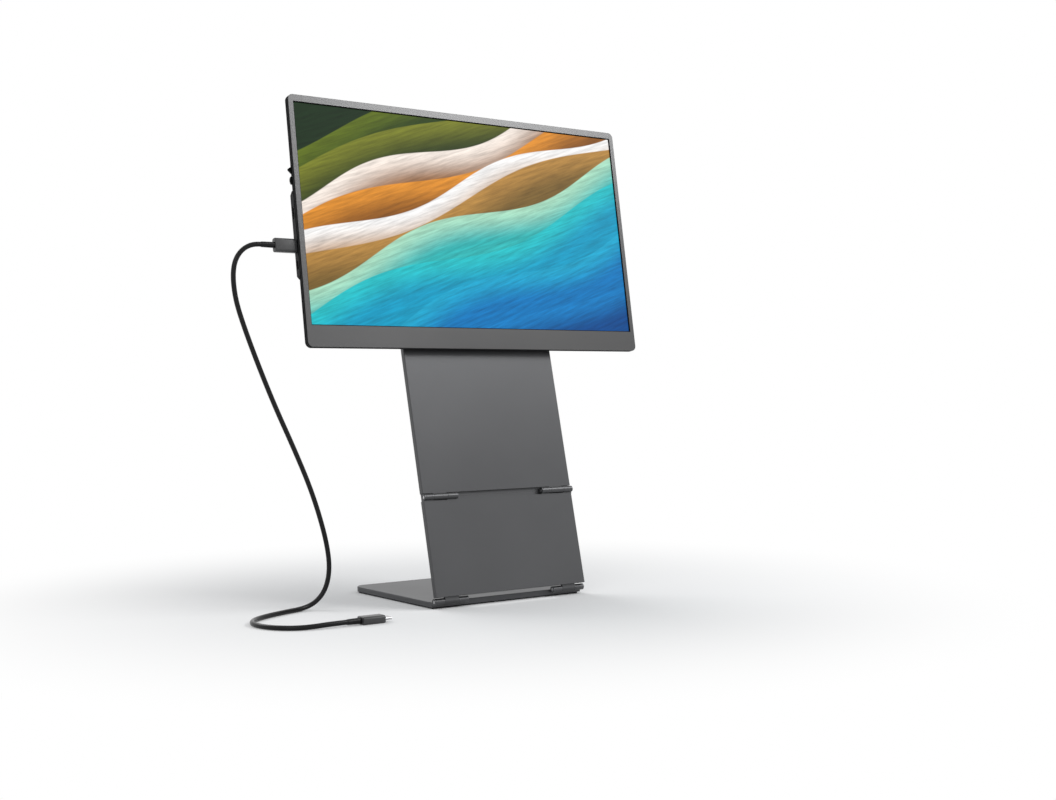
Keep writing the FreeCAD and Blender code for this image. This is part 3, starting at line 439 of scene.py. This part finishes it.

# %% [markdown]
# The front frame is bead-blasted metal, anodised grey. Its front is lighter than its sides: the sides
# are the same metal in shade, so painted shade makes them nearly black, and one paler band of
# painted highlight runs along their middle. The frame could be split into pieces of one colour
# each, but on the real object it is one piece, so its finish asks how deep behind the front a point
# lies. This helper gives a point's place in the screen's own directions.

# %% Places on the screen


def screen_coordinates(tree):
    """Places on the screen: across from its middle, up from its lower edge and back from its front."""
    place = tree.nodes.new("ShaderNodeTexCoord")
    shift = tree.nodes.new("ShaderNodeVectorMath")
    shift.operation = "SUBTRACT"
    shift.inputs[1].default_value = screen_corner
    tree.links.new(place.outputs["Object"], shift.inputs[0])
    found = []
    for direction in (Vector((1, 0, 0)), screen_up, screen_back):
        along = tree.nodes.new("ShaderNodeVectorMath")
        along.operation = "DOT_PRODUCT"
        along.inputs[1].default_value = direction
        tree.links.new(shift.outputs["Vector"], along.inputs[0])
        found.append(along.outputs["Value"])
    return found


# %% [markdown]
# The frame's finish starts as an ordinary one. Behind the front it loses its metal and its sheen
# and takes the sides' painted shade, with its band of painted highlight, because a shiny side
# would mirror the white room where the eye meets it at a low angle.

# %% The grey frame
FRONT_COLOUR = (0.102, 0.102, 0.103)
# Painted shade: the sides are the front's metal in shade; the band along them is a painted highlight.
SIDE_PAINTED_SHADE = (0.005, 0.005, 0.005)
BAND_PAINTED_HIGHLIGHT = (0.046, 0.046, 0.047)
FRONT_METAL = 0.8
FRONT_SHEEN = 0.05
# How deep behind the front, from where to where, each of these changes happens
FRONT_ENDS = (0.00030, 0.00045)
BAND_STARTS = (0.0016, 0.0020)
BAND_ENDS = (0.0032, 0.0036)


def frame_material():
    """Grey in front, nearly black painted shade on the sides, with a band of painted highlight."""
    mat = finish("grey_frame", FRONT_COLOUR, 0.30, metallic=FRONT_METAL, grain=3200.0, bump=0.07,
                 drift=0.04, cloud=7.0, rough_drift=0.04, specular=FRONT_SHEEN)
    tree = mat.node_tree
    shader = tree.nodes["Principled BSDF"]
    front_colour = shader.inputs["Base Color"].links[0].from_socket
    _, _, back = screen_coordinates(tree)
    # Painted shade on the sides, with a paler band of painted highlight along their middle
    band = number(tree, "SUBTRACT", between(tree, back, *BAND_STARTS), between(tree, back, *BAND_ENDS))
    side_shade_and_highlight = mixed(tree, band, SIDE_PAINTED_SHADE, BAND_PAINTED_HIGHLIGHT)
    behind = between(tree, back, *FRONT_ENDS)
    in_front = number(tree, "SUBTRACT", 1.0, behind)
    tree.links.new(number(tree, "MULTIPLY", in_front, FRONT_METAL), shader.inputs["Metallic"])
    tree.links.new(number(tree, "MULTIPLY", in_front, FRONT_SHEEN), shader.inputs["Specular IOR Level"])
    tree.links.new(mixed(tree, behind, front_colour, side_shade_and_highlight), shader.inputs["Base Color"])
    return mat


wear("front_frame", frame_material())
print("frame finish on", len(nodes["front_frame"].data.polygons), "faces")

# %% [markdown]
# The picture is lit from behind, so it is light that the surface gives off, under a satin
# anti-glare face. An image file could be shown there, but this one is painted by sums alone: ten
# ribbons of colour that sweep up to the right, in dark greens, tan, white and orange, then
# turquoise and deepening blue. Each ribbon covers what lies beyond its own wavy edge, is bright at
# that edge, and fades to its deeper colour behind it.

# %% The ribbons of colour
EDGE_SOFTNESS = 0.0035
FADE_LENGTH = 0.10
FIRST_COLOUR = (0.008, 0.028, 0.008)
# How the ribbons lie: one direction crosses them, the other runs along them
CROSSING = (0.40, 0.60)
RUNNING = (1.30, 0.45)
# Each ribbon: its edge's place, how far and how often it waves, its start, edge colour, deep colour
RIBBONS = (
    (0.11, 0.026, 5.1, 0.4, (0.120, 0.170, 0.010), (0.012, 0.040, 0.006)),
    (0.18, 0.030, 4.2, 1.9, (0.200, 0.220, 0.020), (0.030, 0.050, 0.008)),
    (0.25, 0.028, 6.3, 0.8, (1.000, 0.900, 0.820), (0.330, 0.150, 0.060)),
    (0.32, 0.030, 5.0, 2.6, (0.800, 0.300, 0.030), (0.260, 0.090, 0.010)),
    (0.37, 0.026, 5.9, 4.0, (1.000, 1.000, 1.000), (0.560, 0.330, 0.170)),
    (0.42, 0.030, 4.4, 5.3, (0.500, 0.260, 0.060), (0.200, 0.120, 0.030)),
    (0.48, 0.030, 5.6, 0.9, (0.420, 0.760, 0.560), (0.030, 0.480, 0.480)),
    (0.57, 0.034, 4.8, 3.0, (0.020, 0.560, 0.600), (0.004, 0.340, 0.560)),
    (0.69, 0.034, 5.3, 1.2, (0.010, 0.400, 0.640), (0.002, 0.190, 0.520)),
    (0.83, 0.030, 4.1, 2.2, (0.004, 0.210, 0.560), (0.001, 0.070, 0.280)),
)


def weighted(tree, a, b, weights):
    """The sum of two values, each times its own weight."""
    first = number(tree, "MULTIPLY", a, weights[0])
    second = number(tree, "MULTIPLY", b, weights[1])
    return number(tree, "ADD", first, second)


def ribbons(tree, u, v):
    """The ribbons one over the other, and how far along and across them a point lies."""
    down = number(tree, "SUBTRACT", 1.0, v)
    sweep = weighted(tree, u, down, CROSSING)
    along = weighted(tree, u, v, RUNNING)
    colour = FIRST_COLOUR
    for edge, swing, waves, start, bright, deep in RIBBONS:
        phase = number(tree, "ADD", number(tree, "MULTIPLY", along, waves), start)
        wave = number(tree, "MULTIPLY", number(tree, "SINE", phase), swing)
        beyond = number(tree, "SUBTRACT", number(tree, "SUBTRACT", sweep, edge), wave)
        paint = mixed(tree, between(tree, beyond, 0.0, FADE_LENGTH), bright, deep)
        colour = mixed(tree, between(tree, beyond, 0.0, EDGE_SOFTNESS), colour, paint)
    return colour, along, sweep


print("ribbons:", len(RIBBONS))

# %% [markdown]
# Flat ribbons look printed. Fine streaks that run along them, as a wide brush leaves them, make
# them look painted. The streaks are one noise pattern that is stretched along the ribbons.

# %% The brush
STREAKS_ALONG = 7.0
STREAKS_ACROSS = 110.0
STREAK_DARKEST = 0.70
STREAK_LIGHTEST = 1.25
STREAK_DETAIL = 6.0
STREAK_ROUGHNESS = 0.65


def brushed(tree, colour, along, sweep):
    """Fine streaks along the ribbons, as a wide brush leaves them."""
    flat = tree.nodes.new("ShaderNodeCombineXYZ")
    tree.links.new(number(tree, "MULTIPLY", along, STREAKS_ALONG), flat.inputs["X"])
    tree.links.new(number(tree, "MULTIPLY", sweep, STREAKS_ACROSS), flat.inputs["Y"])
    bristles = tree.nodes.new("ShaderNodeTexNoise")
    bristles.inputs["Scale"].default_value = 1.0
    bristles.inputs["Detail"].default_value = STREAK_DETAIL
    bristles.inputs["Roughness"].default_value = STREAK_ROUGHNESS
    tree.links.new(flat.outputs["Vector"], bristles.inputs["Vector"])
    strength = tree.nodes.new("ShaderNodeMapRange")
    strength.inputs["From Min"].default_value = NOISE_RANGE[0]
    strength.inputs["From Max"].default_value = NOISE_RANGE[1]
    strength.inputs["To Min"].default_value = STREAK_DARKEST
    strength.inputs["To Max"].default_value = STREAK_LIGHTEST
    tree.links.new(bristles.outputs["Fac"], strength.inputs["Value"])
    painted = tree.nodes.new("ShaderNodeVectorMath")
    painted.operation = "SCALE"
    tree.links.new(colour, painted.inputs[0])
    tree.links.new(strength.outputs["Result"], painted.inputs["Scale"])
    return painted.outputs["Vector"]


print("streaks:", STREAKS_ACROSS, "across the picture's sweep")

# %% [markdown]
# The picture fills only the lit area of the glass, which starts above the chin. Outside it the
# glass stays black, as the rim of a real panel does.

# %% The lit picture
PICTURE_WIDTH = 0.34416
PICTURE_HEIGHT = 0.19359
CHIN = 0.0195
PICTURE_STRENGTH = 0.95
GLASS_COLOUR = (0.006, 0.006, 0.006)
GLASS_SHEEN = 0.08
GLASS_GRAIN = 2500.0
GLASS_ROUGHNESS = (0.42, 0.52)


def picture_material():
    """Satin glass that gives off the picture's light."""
    mat = bpy.data.materials.new("screen_glass")
    mat.use_nodes = True
    tree = mat.node_tree
    shader = tree.nodes["Principled BSDF"]
    across, up, _ = screen_coordinates(tree)
    u = number(tree, "ADD", number(tree, "DIVIDE", across, PICTURE_WIDTH), 0.5)
    v = number(tree, "DIVIDE", number(tree, "SUBTRACT", up, CHIN), PICTURE_HEIGHT)
    inside = []
    for share in (u, v):
        off_middle = number(tree, "ABSOLUTE", number(tree, "SUBTRACT", share, 0.5))
        inside.append(number(tree, "LESS_THAN", off_middle, 0.5))
    lit = number(tree, "MULTIPLY", *inside)
    picture = mixed(tree, lit, (0.0, 0.0, 0.0), brushed(tree, *ribbons(tree, u, v)))
    tree.links.new(picture, shader.inputs["Emission Color"])
    shader.inputs["Emission Strength"].default_value = PICTURE_STRENGTH
    shader.inputs["Base Color"].default_value = (*GLASS_COLOUR, 1)
    shader.inputs["Specular IOR Level"].default_value = GLASS_SHEEN
    grain = tree.nodes.new("ShaderNodeTexNoise")
    grain.inputs["Scale"].default_value = GLASS_GRAIN
    place = tree.nodes.new("ShaderNodeTexCoord")
    tree.links.new(place.outputs["Object"], grain.inputs["Vector"])
    satin = tree.nodes.new("ShaderNodeMapRange")
    satin.inputs["To Min"].default_value = GLASS_ROUGHNESS[0]
    satin.inputs["To Max"].default_value = GLASS_ROUGHNESS[1]
    tree.links.new(grain.outputs["Fac"], satin.inputs["Value"])
    tree.links.new(satin.outputs["Result"], shader.inputs["Roughness"])
    return mat


wear("display_glass", picture_material())
print("picture:", PICTURE_WIDTH, "by", PICTURE_HEIGHT, "m")

# %% [markdown]
# The next pieces are modelled as by hand, in edit mode and with modifiers. Three helpers serve them
# all: one opens edit mode with only the wanted faces or edges selected, one applies a piece's
# modifiers, and one names a finished piece and puts it in the place of a frame piece.

# %% Helpers for modelling
SMOOTH_BELOW = math.radians(35)
SHARP_ABOVE = math.radians(60)


def pick(piece, wanted, kind="FACE"):
    """Opens edit mode with only the faces or edges that pass a test selected."""
    bpy.ops.object.mode_set(mode="EDIT")
    bpy.ops.mesh.select_mode(type=kind)
    bpy.ops.mesh.select_all(action="DESELECT")
    bpy.ops.object.mode_set(mode="OBJECT")
    for item in piece.data.polygons if kind == "FACE" else piece.data.edges:
        item.select = wanted(item)
    bpy.ops.object.mode_set(mode="EDIT")


def apply_modifiers(piece):
    """Applies all of a piece's modifiers, in their order."""
    bpy.context.view_layer.objects.active = piece
    for modifier in list(piece.modifiers):
        bpy.ops.object.modifier_apply(modifier=modifier.name)


def settle(piece, name, node, body, material):
    """Names a finished piece, smooths it, and puts it in the place of a frame piece."""
    piece.name = name
    deselect()
    piece.select_set(True)
    bpy.context.view_layer.objects.active = piece
    bpy.ops.object.shade_smooth_by_angle(angle=SMOOTH_BELOW)
    piece.data.materials.clear()
    piece.data.materials.append(material)
    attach(piece, body)
    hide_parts(node)


# %% [markdown]
# Screws are what a close look finds first, and the frame's ones have plain heads. One screw is
# modelled standing on its tip: a cylinder is narrowed or stepped below its head, its shank is
# drawn out, its rim is rounded, and a cross is cut into the top. The cross could be two inset
# faces pushed in, but two boxes taken away by a Boolean modifier give it clean, square arms.

# %% One screw
SCREW_SIDES = 32
ARM_LENGTH = 1.15
ARM_WIDTH = 0.24
ARM_DEPTH = 1.1
SUNK_ROUNDING = 0.12
RAISED_ROUNDING = 0.4


def model_screw(head_radius, head_height, shank_radius, length, sunk):
    """A screw along Z with the top of its head at zero and a cross in it."""
    deselect()
    bpy.ops.mesh.primitive_cylinder_add(vertices=SCREW_SIDES, radius=head_radius, depth=head_height)
    screw = bpy.context.object
    pick(screw, lambda face: True)
    bpy.ops.transform.translate(value=(0, 0, -head_height / 2))
    pick(screw, lambda face: face.normal.z < -0.9)
    if sunk:
        narrow = shank_radius / head_radius
        bpy.ops.transform.resize(value=(narrow, narrow, 1))
    else:
        bpy.ops.mesh.inset(thickness=head_radius - shank_radius)
    bpy.ops.mesh.extrude_region_move(TRANSFORM_OT_translate={"value": (0, 0, head_height - length)})
    bpy.ops.object.mode_set(mode="OBJECT")
    rounding = screw.modifiers.new("rounding", "BEVEL")
    rounding.width = head_height * (SUNK_ROUNDING if sunk else RAISED_ROUNDING)
    rounding.segments = 3
    rounding.limit_method = "ANGLE"
    rounding.angle_limit = SHARP_ABOVE
    apply_modifiers(screw)
    arms = []
    for i in range(2):
        deselect()
        bpy.ops.mesh.primitive_cube_add(size=1)
        arm = bpy.context.object
        arm.scale = (head_radius * ARM_LENGTH, head_radius * ARM_WIDTH, head_height * ARM_DEPTH)
        arm.rotation_euler.z = i * math.pi / 2
        cut = screw.modifiers.new("arm", "BOOLEAN")
        cut.operation = "DIFFERENCE"
        cut.object = arm
        arms.append(arm)
    deselect()
    apply_modifiers(screw)
    for arm in arms:
        bpy.data.objects.remove(arm)
    return screw


# %% [markdown]
# The frame says where the screws stand, but all screws of one kind are a single piece there. So
# the loose parts of that piece are found first, by walking from corner to corner along its edges.

# %% Where the screws stand
MICROMETRE_DIGITS = 6


def solids_of(node):
    """The corners of each separate solid of a frame piece, found by walking its edges."""
    mesh = nodes[node].data
    leader = {}

    def key(i):
        return tuple(round(c, MICROMETRE_DIGITS) for c in mesh.vertices[i].co)

    def lead(k):
        while leader.setdefault(k, k) != k:
            k = leader[k]
        return k

    for edge in mesh.edges:
        leader[lead(key(edge.vertices[0]))] = lead(key(edge.vertices[1]))
    found = {}
    for vertex in mesh.vertices:
        found.setdefault(lead(key(vertex.index)), []).append(vertex.co.copy())
    return list(found.values())


# %% [markdown]
# One copy of the modelled screw goes to each place, a little further turned than the one before,
# as real screws end up, and the copies are joined into one new piece.

# %% Screws
SCREW_TURN = 0.9
# Each kind: radius and height of the head, radius of the shank, whole length, whether it is sunk
SCREWS = {
    "cover_screws": (0.00146, 0.0008, 0.0008, 0.0036, True),
    "housing_screws": (0.00146, 0.0008, 0.0008, 0.0057, True),
    "bracket_screws": (0.0022, 0.0009, 0.0012, 0.0042, False),
}


def set_screws(node, pattern):
    """Copies of one screw where the frame piece has its own, joined into one new piece."""
    copies = []
    for i, corners in enumerate(solids_of(node)):
        ups = [corner.dot(screen_up) for corner in corners]
        across = [corner.x for corner in corners]
        top = max(corner.dot(screen_back) for corner in corners)
        place = Vector(((min(across) + max(across)) / 2, 0, 0)) + screen_up * (min(ups) + max(ups)) / 2
        copy = pattern.copy()
        copy.data = pattern.data.copy()
        copy.matrix_world = (Matrix.Translation(place + screen_back * top)
                             @ screen_back.to_track_quat("Z", "Y").to_matrix().to_4x4()
                             @ Matrix.Rotation(SCREW_TURN * i, 4, "Z"))
        bpy.context.scene.collection.objects.link(copy)
        copies.append(copy)
    bpy.data.objects.remove(pattern)
    deselect()
    for copy in copies:
        copy.select_set(True)
    bpy.context.view_layer.objects.active = copies[0]
    bpy.ops.object.join()
    bpy.ops.object.transform_apply(location=True, rotation=True, scale=True)
    settle(copies[0], node + "_crossed", node, "display", zinc)
    print(node, "set:", len(copies))


for node, sizes in SCREWS.items():
    set_screws(node, model_screw(*sizes))

# %% [markdown]
# The two plugs have moulded bodies with round long edges and softened ends. A Subdivision Surface
# modifier would round a box as well, but it draws the sides in, so each body starts as a box of
# the full size, its four long edges are bevelled in edit mode, and a small bevel modifier goes
# round the ends. The upper plug stands with its wide side along the screen's edge, and the other
# one lies flat on the table.

# %% Plug bodies
PLUG_WIDTH = 0.012
PLUG_THICKNESS = 0.0065
PLUG_CORNER = 0.0022
PLUG_END_ROUNDING = 0.0006


def model_plug(node, lean):
    """A plug body along X in the place of the frame's one, turned about its length."""
    low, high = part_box(node)
    middle = (Vector(low) + Vector(high)) / 2
    deselect()
    bpy.ops.mesh.primitive_cube_add(size=1)
    plug = bpy.context.object
    plug.scale = (PLUG_LENGTH, PLUG_THICKNESS, PLUG_WIDTH)
    bpy.ops.object.transform_apply(location=False, rotation=False, scale=True)
    corners = plug.data.vertices

    def runs_along(edge):
        first, last = (corners[i].co.x for i in edge.vertices)
        return abs(first - last) > PLUG_LENGTH / 2

    pick(plug, runs_along, "EDGE")
    bpy.ops.mesh.bevel(offset=PLUG_CORNER, segments=8)
    bpy.ops.object.mode_set(mode="OBJECT")
    ends = plug.modifiers.new("ends", "BEVEL")
    ends.width = PLUG_END_ROUNDING
    ends.segments = 4
    ends.limit_method = "ANGLE"
    ends.angle_limit = SHARP_ABOVE
    apply_modifiers(plug)
    plug.matrix_world = Matrix.Translation(middle) @ Matrix.Rotation(lean, 4, "X")
    bpy.ops.object.transform_apply(location=True, rotation=True, scale=True)
    settle(plug, node + "_moulded", node, "display", plug_grey)
    print(plug.name, "faces:", len(plug.data.polygons))
    return plug


screen_plug = model_plug("screen_plug_body", -SCREEN_TILT)
far_plug = model_plug("far_plug_body", math.pi / 2)
